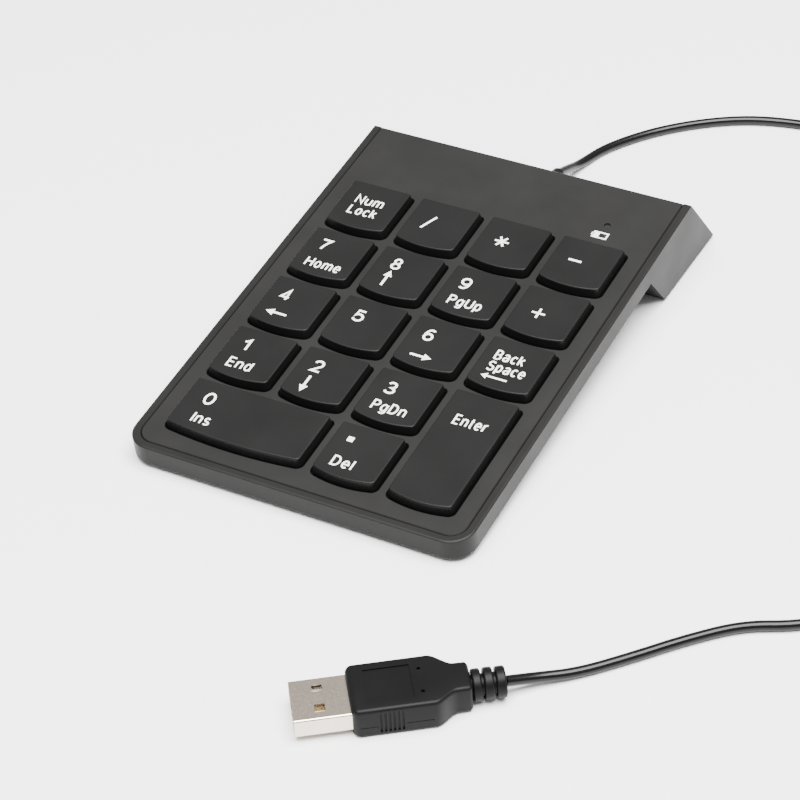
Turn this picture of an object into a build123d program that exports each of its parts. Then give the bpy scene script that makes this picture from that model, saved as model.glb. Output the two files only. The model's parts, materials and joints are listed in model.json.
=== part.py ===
"""Numeric keypad with a USB lead: eighteen sprung keys in a thin sloping case with a deep rear foot.

Two frames are used, in millimetres.
  Deck frame: X to the right, Y to the rear, Z square to the key deck, origin at the middle of the
  key grid on the upper face of the top panel. The keypad itself is drawn here.
  Row frame: X to the right, Y to the rear, Z up, origin under the middle of the keypad on the
  surface that it stands on. Every piece ends here. The lead and its plug are drawn here.
"""
from build123d import *
import os
from math import atan, cos, degrees, pi, radians, sin, tan

os.makedirs("parts", exist_ok=True)

# ---------------------------------------------------------------- driving dimensions
# Key grid
key_pitch = 19.0
column_count = 4
row_count = 5
key_travel = 1.6

# Case
deck_tilt = 5.7            # slope of the key deck, degrees
side_margin = 3.2          # from the key grid to the panel's edge
front_margin = 3.8
rear_strip = 21.1          # blank strip of panel behind the keys
rim_width = 2.0
seam_gap = 0.15            # groove between the panel and the rim
floor_wall = 1.2
foot_wall = 1.8
foot_lean = 33.5           # lean of the foot's front and rear faces, degrees off the deck's normal
foot_lead = 2.6            # of the foot's front face, in front of the key grid's rear edge
case_corner = 6.0
panel_corner = 4.0
ledge = 1.1                # shelf that the panel rests on
foot_rise = 0.7            # how far the case stands clear of the table
rim_bevel = 0.3
underside_round = 0.8
label_width = 46.0         # blank recess for a rating label, under the case
label_depth = 30.0
label_recess = 0.25
label_corner = 2.0

# Top panel
panel_thickness = 1.4
panel_rear_round = 1.1
panel_edge_chamfer = 0.2   # along the groove, and the rim's edge opposite
opening_round = 0.2        # upper edge of each key opening
opening_gap = 0.4          # from a keycap to the edge of its opening

# Keycaps
cap_height = 2.0           # above the panel
cap_side_gap = 2.7         # between two neighbouring caps, at the panel
cap_rear_gap = 1.4         # from the cell's rear edge to the cap
cap_front_gap = 0.6        # from the cell's front edge to the middle of the cap's front
cap_front_bow = 1.3        # how far the front edge bows out
cap_flare = 0.45           # the top is this much smaller on each side
cap_rear_corner = 0.9
cap_front_corner = 1.5
cap_top_round = 0.3
cap_wall = 0.9
cap_roof = 1.2
flange_reach = 0.8         # flange that holds the key under the panel
flange_thickness = 0.45
flange_gap = 0.05          # below the panel, key up
plunger_bore = 7.0
plunger_outer = 8.0
plunger_fit = 0.05         # running clearance, radial, in the guide sleeve
plunger_reach = 0.3        # below the skirt
presser_diameter = 3.6
key_bottom_gap = 0.08      # left under the skirt, key down

# Inner stack
plate_thickness = 0.3
film_thickness = 0.1
stack_gap = 0.02
guide_base = 0.4
sleeve_wall = 0.7
sleeve_headroom = 0.3      # under the cap's roof, key down
edge_inset = 0.3           # from the case's walls to the plates and films
stake_diameter = 1.5
stake_gap = 0.3
contact_hole = 5.0         # in the spacer film, under each key
dome_foot = 6.4
dome_crown = 3.6
dome_crown_height = 0.35
dome_wall = 0.3
dome_gap = 0.05

# Stabiliser wires
wire_diameter = 0.8
wire_fit = 0.05            # radial clearance in its eyes
wire_slot_gap = 0.3        # clearance in the keycap's lugs
wire_sleeve_gap = 0.35     # from the wire's long bar to the guide sleeve
wire_arm = 4.5
wire_end = 1.4
wire_low_rise = 0.75       # of the arm's end above the long bar, key down
wire_lift = 0.6            # of the long bar above the guide base
wire_overhang = 2.0        # of the arms past half a key pitch
lug_wall = 0.7
lug_lip = 0.5
eye_wall = 0.45
eye_width = 1.6
eye_inset = 3.0            # from the wire's arm to the eye

# Board and its pieces
board_side_gap = 9.2       # from the panel's side
board_gap = 1.8            # behind the plates and films
board_depth = 13.2
board_thickness = 1.0
tail_half_width = 17.0
tail_overlap = 5.5
clamp_height = 1.4
clamp_depth = 4.0
clamp_setback = 1.0
clamp_end = 0.6            # of the clamp past the screw's head
board_screw_x = 21.5
board_screw_depth = 3.5    # of thread under the board
board_boss_wall = 1.6
small_screw = 2.0
small_head = 3.8
small_head_height = 1.0
led_side_gap = 13.6        # from the panel's side
led_setback = 7.1          # behind the key grid
led_hole = 1.6
led_size = (2.0, 1.3, 0.4)
led_window = (1.2, 1.2, 0.4)
lens_fit = 0.05
lens_sink = 0.35           # of the lens below the panel's face
lens_lip = 0.7
lens_lip_height = 0.6
chip_x = -9.0
chip_setback = 5.4         # from the board's rear edge
chip_size = (10.0, 4.0, 1.4)
chip_lift = 0.1
chip_leg_pitch = 1.27
chip_leg_count = 8
chip_leg_width = 0.4
chip_leg_reach = 1.0
chip_leg_thickness = 0.35
crystal_x = 11.3
crystal_size = (4.6, 3.2, 1.4)
capacitor_x = 19.5
capacitor_diameter = 4.0
capacitor_height = 5.2
resistor_places = (2.5, 5.1, 25.5, 28.1)
resistor_size = (1.0, 2.0, 0.5)

# Case screws, behind the board
case_screw_side_gap = 4.8  # from the panel's side
case_screw_setback = 5.6   # from the panel's rear edge
case_screw = 2.6
case_screw_head = 4.8
case_screw_head_height = 1.7
case_screw_sink = 6.5      # of the head's seat above the sole
thread_end_gap = 0.2
screw_clearance = 0.2
boss_wall = 1.9
recess_share = 0.28        # arm of a screw's cross recess, of its head's diameter
recess_slot = 0.25         # width of the recess, of its arm
head_round = 0.35          # of a screw head's height

# Hooks of the panel under the front rim
hook_half = 3.0
hook_inset = 0.3           # from the chamber's front wall
hook_leg_thickness = 0.9
hook_toe = 0.75
hook_drop = 1.3
hook_toe_thickness = 0.6
hook_side_gap = 0.3
hook_gap = 0.15

# Rubber pads under the case
pad_diameter = 9.0
pad_recess = 0.5
pad_fit = 0.2
pad_stock = 6.0            # thickness that a front pad is cut level from
pad_cut = 200.0            # more than the keypad's size
pad_side_gap = 10.35       # from the case's side to the pad's middle
front_pad_setback = 10.45  # from the case's front to the pad's middle
rear_pad_shift = 7.0       # of the rear pads behind the middle of the sole

# Lead
cord_diameter = 2.4
exit_height = 5.6          # of the lead's axis where it leaves the foot
sleeve_length = 6.0        # strain relief outside the foot, measured on its axis
sleeve_root = 4.6
sleeve_tip = 3.4
sleeve_fit = 0.1           # radial, in the rear wall
flange_diameter = 5.8
flange_plate = 1.0
sleeve_straight = 1.0      # outside the wall, before the taper
flange_setback = 5.0       # of the flange's far face from the wall's inner face, on the axis
wire_core = 0.9
wire_core_gap = 0.2
wire_bend = 1.0
wire_stub = 2.2            # straight start of each core, inside the flange
solder_inset = 1.5         # from the board's rear edge
solder_spread = 2.2

# Coil of put-away lead
coil_x = 104.3
coil_y = 43.0
coil_mean_radius = 13.5
coil_columns = 3
coil_layers = 4
coil_slack = 0.3           # air between the turns, on each side
coil_join_angle = 25.0     # where the lead from the keypad joins the coil, degrees from +X

# Plug
plug_x = 32.3              # middle of the shell's open end
plug_y = -123.6
plug_turn = 36.0           # degrees from +X
plug_axis_height = 3.7
shell_width = 12.0
shell_height = 4.5
shell_wall = 0.3
shell_length = 11.7        # outside the overmould
shell_root = 6.0           # inside the overmould
shell_round = 0.5
window_size = 2.2
window_setback = 5.6
window_offset = 2.85
tongue_thickness = 1.9
tongue_setback = 0.6
tongue_gap = 0.05
tongue_side_gap = 0.15
contact_width = 1.0
contact_thickness = 0.15
contact_inset = 0.6
contact_pitches = (-3.5, -1.0, 1.0, 3.5)
overmould_width = 14.4
overmould_height = 7.4
overmould_body = 16.5
overmould_shoulder = 3.0
overmould_neck = 5.3
overmould_corner = 1.6
overmould_round = 0.8
neck_width = 8.4
relief_core = 4.6
relief_ring = 7.0
relief_rings = ((0.5, 1.7), (2.7, 2.0), (5.3, 2.2))   # start and width of each ring
relief_length = 7.5
relief_round = 0.4

# ---------------------------------------------------------------- worked-out sizes
grid_half_width = column_count * key_pitch / 2
grid_half_depth = row_count * key_pitch / 2
panel_half_width = grid_half_width + side_margin
panel_front = -(grid_half_depth + front_margin)
panel_rear = grid_half_depth + rear_strip
case_half_width = panel_half_width + seam_gap + rim_width
case_front = panel_front - seam_gap - rim_width
lean = tan(radians(foot_lean))
tilt_sin = sin(radians(deck_tilt))
tilt_cos = cos(radians(deck_tilt))

# Heights, from the panel's face down
panel_under = -panel_thickness
skirt_low = panel_under - flange_gap - flange_thickness
guide_top = skirt_low - key_travel - key_bottom_gap
guide_low = guide_top - guide_base
film_tops = [guide_low - stack_gap - film_thickness * i for i in (2, 1, 0)]
plate_top = film_tops[0] - film_thickness
inner_floor = plate_top - plate_thickness
underside = inner_floor - floor_wall
cap_ceiling = cap_height - cap_roof
sleeve_top = cap_ceiling - key_travel - sleeve_headroom

foot_front = grid_half_depth - foot_lead   # where the foot's front face meets the underside
chamber_half_width = panel_half_width - ledge
chamber_front = panel_front + ledge
stack_half_width = chamber_half_width - edge_inset
stack_front = chamber_front + edge_inset
stack_rear = grid_half_depth + edge_inset
guide_bore = plunger_outer + 2 * plunger_fit
# The wire's long bar, from the plunger's axis
wire_back = guide_bore / 2 + sleeve_wall + wire_sleeve_gap + wire_diameter / 2
board_half_width = panel_half_width - board_side_gap
board_front = stack_rear + board_gap
led_x = panel_half_width - led_side_gap
led_y = grid_half_depth + led_setback
case_screw_x = panel_half_width - case_screw_side_gap
case_screw_y = panel_rear - case_screw_setback
pad_x = case_half_width - pad_side_gap
front_pad_y = case_front + front_pad_setback

# Height of the deck frame's origin: the case's lower front edge stands foot_rise above the table.
deck_z = foot_rise - (case_front * tilt_sin + underside * tilt_cos)


def rear_face(z):
    """Y of the case's leaning rear face at height z in the deck frame."""
    return panel_rear - z * lean


def foot_face(z):
    """Y of the foot's leaning front face at height z in the deck frame."""
    return foot_front - (z - underside) * lean


def sole(face_y, rise):
    """Z in the deck frame where a leaning face, face_y at z = 0, is rise above the table."""
    return (rise - deck_z - face_y * tilt_sin) / (tilt_cos - lean * tilt_sin)


rear_sole = sole(rear_face(0), foot_rise)
front_sole = sole(foot_face(0), foot_rise)
case_profile = [
    (case_front, 0),
    (rear_face(0), 0),
    (rear_face(rear_sole), rear_sole),
    (foot_face(front_sole), front_sole),
    (foot_front, underside),
    (case_front, underside),
]


def row_y(y, z):
    """Y in the row frame, before the origin is set, of a deck-frame point."""
    return y * tilt_cos - z * tilt_sin


# The origin lies under the middle of the case, front to rear.
front_most = row_y(case_front, -rim_bevel)
rear_most = row_y(rear_face(rear_sole), rear_sole)
deck_y = -(front_most + rear_most) / 2
to_row = Location((0, deck_y, deck_z), (deck_tilt, 0, 0))


def save(shape, name):
    """Writes one node's STEP file."""
    shape.label = name
    export_step(shape, f"parts/{name}.step")


def save_deck(shape, name):
    """Writes a piece drawn in the deck frame."""
    save(to_row * shape, name)


def upright(radius, low, high, x=0.0, y=0.0):
    """Cylinder along the deck's normal from z = low to z = high."""
    return Pos(x, y, low) * Cylinder(
        radius, high - low, align=(Align.CENTER, Align.CENTER, Align.MIN)
    )


def block(x_range, y_range, z_range):
    """Box between three pairs of coordinates."""
    low = [min(pair) for pair in (x_range, y_range, z_range)]
    sizes = [abs(pair[1] - pair[0]) for pair in (x_range, y_range, z_range)]
    return Pos(*low) * Box(*sizes, align=(Align.MIN, Align.MIN, Align.MIN))


def side_prism(points, half_width):
    """Prism across the keypad from an outline of (y, z) points."""
    return extrude(make_face(Plane.YZ * Polyline(*points, close=True)), half_width, both=True)


def rounded_slab(half_width, front, rear, corner, low, high):
    """Slab with rounded front corners and a square rear edge."""
    slab = block((-half_width, half_width), (front, rear), (low, high))
    front_edges = slab.edges().filter_by(Axis.Z).group_by(Axis.Y)[0]
    return fillet(front_edges, corner)


# ---------------------------------------------------------------- keys
# Name: middle of the key in cells from the grid's middle, then width and depth in cells
keys = {
    "key_0": (-1.0, -2.0, 2, 1),
    "key_decimal": (0.5, -2.0, 1, 1),
    "key_enter": (1.5, -1.5, 1, 2),
}
single_keys = (
    ("key_1", "key_2", "key_3"),
    ("key_4", "key_5", "key_6", "key_backspace"),
    ("key_7", "key_8", "key_9", "key_plus"),
    ("key_num_lock", "key_divide", "key_multiply", "key_minus"),
)
for row, names in enumerate(single_keys):
    for column, name in enumerate(names):
        keys[name] = (column - 1.5, row - 1.0, 1, 1)


def key_centre(name):
    """Middle of a key's cell in the deck frame."""
    across, back, _, _ = keys[name]
    return across * key_pitch, back * key_pitch


def key_outline(name, grow=0.0):
    """Plan of a keycap at the panel's face, grown on every side, about its cell's middle."""
    _, _, wide, deep = keys[name]
    half = (wide * key_pitch - cap_side_gap) / 2 + grow
    rear = deep * key_pitch / 2 - cap_rear_gap + grow
    front = -(deep * key_pitch / 2 - cap_front_gap + grow)
    corner_y = front + cap_front_bow
    sides = Polyline((half, corner_y), (half, rear), (-half, rear), (-half, corner_y))
    bow = ThreePointArc((-half, corner_y), (0, front), (half, corner_y))
    face = make_face(sides + bow)
    rear_corners = face.vertices().group_by(Axis.Y)[-1]
    face = fillet(rear_corners, cap_rear_corner + max(grow, -cap_rear_corner / 2))
    front_corners = face.vertices().group_by(Axis.Y)[0]
    return fillet(front_corners, cap_front_corner + max(grow, -cap_front_corner / 2))


def key_prism(name, grow, low, high):
    """Straight prism of a key's outline between two heights, about its cell's middle."""
    return extrude(Pos(0, 0, low) * key_outline(name, grow), high - low)


def stabilised(name):
    """True for a key that is two cells long."""
    return max(keys[name][2:]) > 1


def along_key(name):
    """Turns pieces drawn along X into the long direction of a two-cell key."""
    return Rot(0, 0, -90) if keys[name][3] > 1 else Rot(0, 0, 0)


wire_rise = key_travel + wire_low_rise
bar_z = guide_top + wire_lift
arm_end_z = bar_z + wire_rise
arm_x = key_pitch / 2 + wire_overhang
slot_travel = wire_arm * (1 / cos(atan(wire_rise / wire_arm)) - 1)


def stabiliser_lugs():
    """Two slotted lugs under a long keycap that hold the ends of its wire."""
    lugs = None
    slot_high = wire_diameter / 2 + wire_slot_gap
    slot_front = wire_back - wire_arm - slot_travel - slot_high
    slot_rear = wire_back - wire_arm + slot_high
    for side in (-1, 1):
        inner = arm_x - wire_diameter / 2 - wire_slot_gap - wire_end
        x_range = (side * inner, side * (inner + wire_end))
        lug = block(
            x_range,
            (slot_front - lug_wall, slot_rear + lug_wall),
            (arm_end_z - slot_high - lug_lip, cap_ceiling),
        )
        lug -= block(
            (side * (inner - 1), side * (inner + wire_end + 1)),
            (slot_front, slot_rear),
            (arm_end_z - slot_high, arm_end_z + slot_high),
        )
        lugs = lug if lugs is None else lugs + lug
    return lugs


def keycap(name):
    """One keycap: flared cap, retaining flange, guide tube and presser."""
    taper = degrees(atan(cap_flare / cap_height))
    upper = extrude(key_outline(name), cap_height, taper=taper)
    upper = fillet(upper.edges().group_by(Axis.Z)[-1], cap_top_round)
    cap = upper + key_prism(name, 0, skirt_low, 0)
    cap += key_prism(name, flange_reach, skirt_low, skirt_low + flange_thickness)
    cap -= key_prism(name, -cap_wall, skirt_low, cap_ceiling)
    tube = upright(plunger_outer / 2, skirt_low - plunger_reach, cap_ceiling)
    tube -= upright(plunger_bore / 2, skirt_low - plunger_reach, cap_ceiling)
    cap += tube
    cap += upright(presser_diameter / 2, skirt_low, cap_ceiling)
    if stabilised(name):
        cap += along_key(name) * stabiliser_lugs()
    x, y = key_centre(name)
    return Pos(x, y, 0) * cap


for name in keys:
    save_deck(keycap(name), name)

# Stabiliser wires: a long bar that turns in the guide's eyes, two arms and two bent-in ends.


def stabiliser_wire():
    """Wire of a long key, along X, about the key's middle."""
    y_end = wire_back - wire_arm
    bend = wire_diameter
    route = [
        (-(arm_x - wire_end - wire_slot_gap), y_end, arm_end_z),
        (-arm_x, y_end, arm_end_z),
        (-arm_x, wire_back, bar_z),
        (arm_x, wire_back, bar_z),
        (arm_x, y_end, arm_end_z),
        (arm_x - wire_end - wire_slot_gap, y_end, arm_end_z),
    ]
    path = FilletPolyline(*route, radius=bend)
    start = Plane(origin=path @ 0, z_dir=path % 0)
    return sweep(start * Circle(wire_diameter / 2), path=path)


for name, wire_name in (("key_0", "stabiliser_wire_0"), ("key_enter", "stabiliser_wire_enter")):
    x, y = key_centre(name)
    save_deck(Pos(x, y, 0) * along_key(name) * stabiliser_wire(), wire_name)

# ---------------------------------------------------------------- guide frame
# Points between four single keys, where the panel's posts press the stack down.
row_seam = (cap_rear_gap + cap_front_gap) / 2 - cap_rear_gap
covered = {(-1, -2), (1, -2)}
stake_points = [
    (column * key_pitch, (row + 0.5) * key_pitch + row_seam)
    for row in range(-2, 2)
    for column in (-1, 0, 1)
    if (column, row) not in covered
]


def wire_eyes():
    """Two eyes on the guide frame that hold a stabiliser wire's long bar, along X."""
    eyes = None
    bore_radius = wire_diameter / 2 + wire_fit
    outer = bore_radius + eye_wall
    for side in (-1, 1):
        x = side * (arm_x - eye_inset)
        eye = block(
            (x - eye_width / 2, x + eye_width / 2),
            (wire_back - outer, wire_back + outer),
            (guide_low, bar_z + outer),
        )
        bore = Pos(x, wire_back, bar_z) * Rot(0, 90, 0) * Cylinder(bore_radius, 2 * eye_width)
        eye -= bore
        eyes = eye if eyes is None else eyes + eye
    return eyes


guide = rounded_slab(
    stack_half_width, stack_front, stack_rear, panel_corner - ledge, guide_low, guide_top
)
for name in keys:
    x, y = key_centre(name)
    guide += upright(guide_bore / 2 + sleeve_wall, guide_low, sleeve_top, x, y)
for name in keys:
    x, y = key_centre(name)
    guide -= upright(guide_bore / 2, guide_low - 1, sleeve_top + 1, x, y)
    if stabilised(name):
        guide += Pos(x, y, 0) * along_key(name) * wire_eyes()
for x, y in stake_points:
    guide += upright(stake_diameter / 2, inner_floor + stack_gap, guide_low, x, y)
save_deck(guide, "guide_frame")

# ---------------------------------------------------------------- domes, films and steel plate
dome_low = film_tops[-1]
dome_high = skirt_low - dome_gap


def dome(x, y):
    """Hollow rubber dome under one key."""
    shoulder = dome_high - dome_crown_height
    rim_high = dome_low + dome_wall
    outline = [
        (dome_foot / 2, dome_low),
        (dome_foot / 2, rim_high),
        (dome_crown / 2, shoulder),
        (dome_crown / 2, dome_high),
        (0, dome_high),
        (0, dome_high - 2 * dome_wall),
        (dome_crown / 2 - dome_wall, dome_high - 2 * dome_wall),
        (dome_foot / 2 - 2 * dome_wall, dome_low),
    ]
    return Pos(x, y, 0) * revolve(make_face(Plane.XZ * Polyline(*outline, close=True)), Axis.Z)


save_deck(Compound(children=[dome(*key_centre(name)) for name in keys]), "rubber_domes")


def sheet_with_stake_holes(low, high, hole):
    """Thin plate or film with a hole at every stake."""
    sheet = rounded_slab(
        stack_half_width, stack_front, stack_rear, panel_corner - ledge, low, high
    )
    for x, y in stake_points:
        sheet -= upright(hole / 2, low - 1, high + 1, x, y)
    return sheet


stake_hole = stake_diameter + 2 * stake_gap
save_deck(sheet_with_stake_holes(inner_floor, plate_top, stake_hole), "support_plate")

film_names = ("membrane_bottom", "membrane_spacer", "membrane_top")
for film_name, film_high in zip(film_names, film_tops):
    film = sheet_with_stake_holes(film_high - film_thickness, film_high, stake_hole)
    if film_name == "membrane_spacer":
        for name in keys:
            film -= upright(contact_hole / 2, film_high - 1, film_high + 1, *key_centre(name))
    if film_name == "membrane_top":
        film += block(
            (-tail_half_width, tail_half_width),
            (stack_rear - 1, board_front + tail_overlap),
            (film_high - film_thickness, film_high),
        )
    save_deck(film, film_name)

# ---------------------------------------------------------------- board
board_top = film_tops[-1] - film_thickness
board_low = board_top - board_thickness
board_rear = board_front + board_depth
board = block((-board_half_width, board_half_width), (board_front, board_rear), (board_low, board_top))
board_screw_y = board_front + clamp_setback + clamp_depth / 2
for side in (-1, 1):
    board -= upright(
        small_screw / 2 + screw_clearance, board_low - 1, board_top + 1, side * board_screw_x, board_screw_y
    )
save_deck(board, "circuit_board")

clamp_low = film_tops[-1]
clamp_half = board_screw_x + small_head / 2 + clamp_end
clamp = block(
    (-clamp_half, clamp_half),
    (board_screw_y - clamp_depth / 2, board_screw_y + clamp_depth / 2),
    (clamp_low, clamp_low + clamp_height),
)
clamp = fillet(clamp.edges().filter_by(Axis.Z), clamp_depth / 2 - 0.2)
for side in (-1, 1):
    clamp -= upright(
        small_screw / 2 + screw_clearance,
        clamp_low - 1,
        clamp_low + clamp_height + 1,
        side * board_screw_x,
        board_screw_y,
    )
save_deck(clamp, "membrane_clamp")


def screw(x, y, head_low, head_radius, head_height, shank_radius, shank_end):
    """Pan-head screw with a cross recess. shank_end may lie above or below the head."""
    drive = 2 * head_radius * recess_share
    upwards = shank_end > head_low
    head = upright(head_radius, head_low, head_low + head_height, x, y)
    outer_face = head.faces().sort_by(Axis.Z)[0 if upwards else -1]
    head = fillet(outer_face.edges(), head_height * head_round)
    shank_range = (head_low + head_height, shank_end) if upwards else (shank_end, head_low)
    piece = head + upright(shank_radius, *shank_range, x, y)
    face_z = head_low if upwards else head_low + head_height
    slot = drive * recess_slot
    for arm in ((drive, slot), (slot, drive)):
        piece -= block(
            (x - arm[0], x + arm[0]),
            (y - arm[1], y + arm[1]),
            (face_z - head_height / 2, face_z + head_height / 2),
        )
    return piece


board_boss_radius = small_screw / 2 + board_boss_wall
board_screw_end = board_low - board_screw_depth
board_screws = [
    screw(
        side * board_screw_x,
        board_screw_y,
        clamp_low + clamp_height,
        small_head / 2,
        small_head_height,
        small_screw / 2,
        board_screw_end,
    )
    for side in (-1, 1)
]
save_deck(Compound(children=board_screws), "clamp_screws")

chip_y = board_rear - chip_setback


def under_board(x, y, size, lift=0.0):
    """Block of a given width, depth and height that hangs under the board."""
    wide, deep, high = size
    top = board_low - lift
    return block((x - wide / 2, x + wide / 2), (y - deep / 2, y + deep / 2), (top - high, top))


chip = under_board(chip_x, chip_y, chip_size, chip_lift)
leg_size = (chip_leg_width, chip_leg_reach + chip_leg_thickness, chip_leg_thickness)
knee_size = (chip_leg_width, chip_leg_thickness, chip_size[2] / 2)
for i in range(chip_leg_count):
    leg_x = chip_x + (i - (chip_leg_count - 1) / 2) * chip_leg_pitch
    for side in (-1, 1):
        side_y = chip_y + side * chip_size[1] / 2
        chip += under_board(leg_x, side_y + side * chip_leg_reach / 2, leg_size)
        chip += under_board(leg_x, side_y, knee_size, chip_lift)
save_deck(chip, "controller_chip")

small_parts = [
    upright(capacitor_diameter / 2, board_low - capacitor_height, board_low, capacitor_x, chip_y),
    under_board(crystal_x, chip_y, crystal_size),
]
for x in resistor_places:
    small_parts.append(under_board(x, chip_y, resistor_size))
save_deck(Compound(children=small_parts), "board_components")


def on_board(x, y, size, lift=0.0):
    """Block of a given width, depth and height that stands on the board."""
    wide, deep, high = size
    low = board_top + lift
    return block((x - wide / 2, x + wide / 2), (y - deep / 2, y + deep / 2), (low, low + high))


led = on_board(led_x, led_y, led_size)
led += on_board(led_x, led_y, led_window, led_size[2])
save_deck(led, "status_led")

lens_low = panel_under - lens_lip_height
lens = upright(led_hole / 2 - lens_fit, lens_low, -lens_sink, led_x, led_y)
lens += upright(led_hole / 2 + lens_lip, lens_low, panel_under, led_x, led_y)
save_deck(lens, "led_lens")

# ---------------------------------------------------------------- top panel
panel_profile = [
    (panel_front, 0),
    (rear_face(0), 0),
    (rear_face(panel_under), panel_under),
    (panel_front, panel_under),
]
panel = side_prism(panel_profile, panel_half_width)
panel = fillet(panel.edges().filter_by(Axis.Z).group_by(Axis.Y)[0], panel_corner)
rear_top_edge = panel.edges().filter_by(Axis.X).group_by(Axis.Z)[-1].sort_by(Axis.Y)[-1]
panel = fillet(rear_top_edge, panel_rear_round)
groove_edges = ShapeList(
    e for e in panel.faces().sort_by(Axis.Z)[-1].edges() if e.center().Y < rear_face(0) - 2 * panel_rear_round
)
panel = chamfer(groove_edges, panel_edge_chamfer)
for name in keys:
    x, y = key_centre(name)
    panel -= Pos(x, y, 0) * key_prism(name, opening_gap, panel_under - 1, 1)
opening_edges = ShapeList(
    e for wire in panel.faces().sort_by(Axis.Z)[-1].inner_wires() for e in wire.edges()
)
panel = fillet(opening_edges, opening_round)
panel -= upright(led_hole / 2, panel_under - 1, 1, led_x, led_y)
for x, y in stake_points:
    panel += upright(stake_diameter / 2, guide_top + stack_gap, panel_under, x, y)

case_boss_top = board_low
panel_boss_radius = case_screw / 2 + boss_wall
for side in (-1, 1):
    x = side * case_screw_x
    panel += upright(panel_boss_radius, case_boss_top + stack_gap, panel_under, x, case_screw_y)
    panel -= upright(case_screw / 2, case_boss_top - 1, panel_under + 2 * thread_end_gap, x, case_screw_y)

hook_leg_rear = chamber_front + hook_inset + hook_leg_thickness
hook_low = panel_under - hook_drop
hook_points = (-key_pitch, 0.0, key_pitch)
for x in hook_points:
    x_range = (x - hook_half, x + hook_half)
    panel += block(x_range, (chamber_front + hook_inset, hook_leg_rear), (hook_low, panel_under))
    panel += block(
        x_range, (chamber_front - hook_toe, hook_leg_rear), (hook_low, hook_low + hook_toe_thickness)
    )
save_deck(panel, "top_panel")

# ---------------------------------------------------------------- bottom case
case = side_prism(case_profile, case_half_width)
case = fillet(case.edges().filter_by(Axis.Z).group_by(Axis.Y)[0], case_corner)
top_edges = case.faces().sort_by(Axis.Z)[-1].edges()
rim_edges = ShapeList(e for e in top_edges if e.center().Y < rear_face(0) - 0.5)
case = chamfer(rim_edges, rim_bevel)
low_face = case.faces().filter_by(Axis.Z).group_by(Axis.Z)[0][0]
low_edges = ShapeList(e for e in low_face.edges() if e.center().Y < foot_front - 0.5)
case = fillet(low_edges, underside_round)
outer_case = case

pocket_points = [
    (panel_front - seam_gap, panel_under),
    (panel_front - seam_gap, 1),
    (rear_face(0) + 5, 1),
    (rear_face(0) + 5, panel_under),
]
pocket = side_prism(pocket_points, panel_half_width + seam_gap)
pocket = fillet(pocket.edges().filter_by(Axis.Z).group_by(Axis.Y)[0], panel_corner + seam_gap)
case -= pocket
rim_top = case.faces().filter_by(Axis.Z).sort_by(Axis.Z)[-1]
groove_edges = ShapeList(
    e
    for e in rim_top.edges()
    if abs(e.center().X) < panel_half_width + 2 * seam_gap
    and panel_front - 2 * seam_gap < e.center().Y < rear_face(0) - seam_gap
)
case = chamfer(groove_edges, panel_edge_chamfer)

wall_run = foot_wall / cos(radians(foot_lean))


def inner_rear(z):
    """Y of the rear wall's inner face."""
    return rear_face(z) - wall_run


def inner_foot(z):
    """Y of the foot's front wall's inner face."""
    return foot_face(z) + wall_run


inner_rise = foot_rise + foot_wall
rear_inner_sole = sole(inner_rear(0), inner_rise)
front_inner_sole = sole(inner_foot(0), inner_rise)
case -= rounded_slab(
    chamber_half_width, chamber_front, foot_front + 8, panel_corner - ledge, inner_floor, panel_under
)
foot_cavity = [
    (inner_foot(inner_floor), panel_under),
    (inner_rear(panel_under), panel_under),
    (inner_rear(rear_inner_sole), rear_inner_sole),
    (inner_foot(front_inner_sole), front_inner_sole),
    (inner_foot(inner_floor), inner_floor),
]
case -= side_prism(foot_cavity, case_half_width - foot_wall)

for x in hook_points:
    case -= block(
        (x - hook_half - hook_side_gap, x + hook_half + hook_side_gap),
        (chamber_front - hook_toe - hook_side_gap, chamber_front + 1),
        (hook_low - hook_gap, hook_low + hook_toe_thickness + hook_gap),
    )

head_seat = rear_sole + case_screw_sink
for side in (-1, 1):
    x = side * case_screw_x
    boss = upright(panel_boss_radius, rear_sole, case_boss_top, x, case_screw_y) & outer_case
    case += boss
    case -= upright(case_screw / 2 + screw_clearance, rear_sole - 5, case_boss_top + 1, x, case_screw_y)
    case -= upright(case_screw_head / 2 + screw_clearance, rear_sole - 5, head_seat, x, case_screw_y)
    x = side * board_screw_x
    boss = upright(board_boss_radius, rear_sole, board_low - stack_gap, x, board_screw_y) & outer_case
    case += boss
    case -= upright(small_screw / 2, board_screw_end - thread_end_gap, board_low + 1, x, board_screw_y)

label = block(
    (-label_width / 2, label_width / 2),
    (-label_depth / 2, label_depth / 2),
    (underside - 1, underside + label_recess),
)
case -= fillet(label.edges().filter_by(Axis.Z), label_corner)

for side in (-1, 1):
    case -= upright(
        pad_diameter / 2 + pad_fit, underside - 1, underside + pad_recess, side * pad_x, front_pad_y
    )
case = to_row * case

rear_pad_y = (row_y(rear_face(rear_sole), rear_sole) + row_y(foot_face(front_sole), front_sole)) / 2
rear_pad_y += deck_y + rear_pad_shift
for side in (-1, 1):
    seat_radius = pad_diameter / 2 + pad_fit
    case -= upright(seat_radius, foot_rise - 1, foot_rise + pad_recess, side * pad_x, rear_pad_y)


def wall_point(height, inset):
    """Row-frame Y of the rear wall, inset behind its outer face, at a height above the table."""
    z = sole(rear_face(0) - inset, height)
    return row_y(rear_face(z) - inset, z) + deck_y


wall_outer_y = wall_point(exit_height, 0)
wall_inner_y = wall_point(exit_height, wall_run)
flange_y = wall_inner_y - flange_setback


def level(solid, start, end):
    """Stands a solid of revolution along Y, on the lead's axis, from y = start to y = end."""
    return Pos(0, (start + end) / 2, exit_height) * Rot(-90, 0, 0) * solid


def level_cylinder(radius, start, end):
    """Cylinder on the lead's axis."""
    return level(Cylinder(radius, end - start), start, end)


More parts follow.
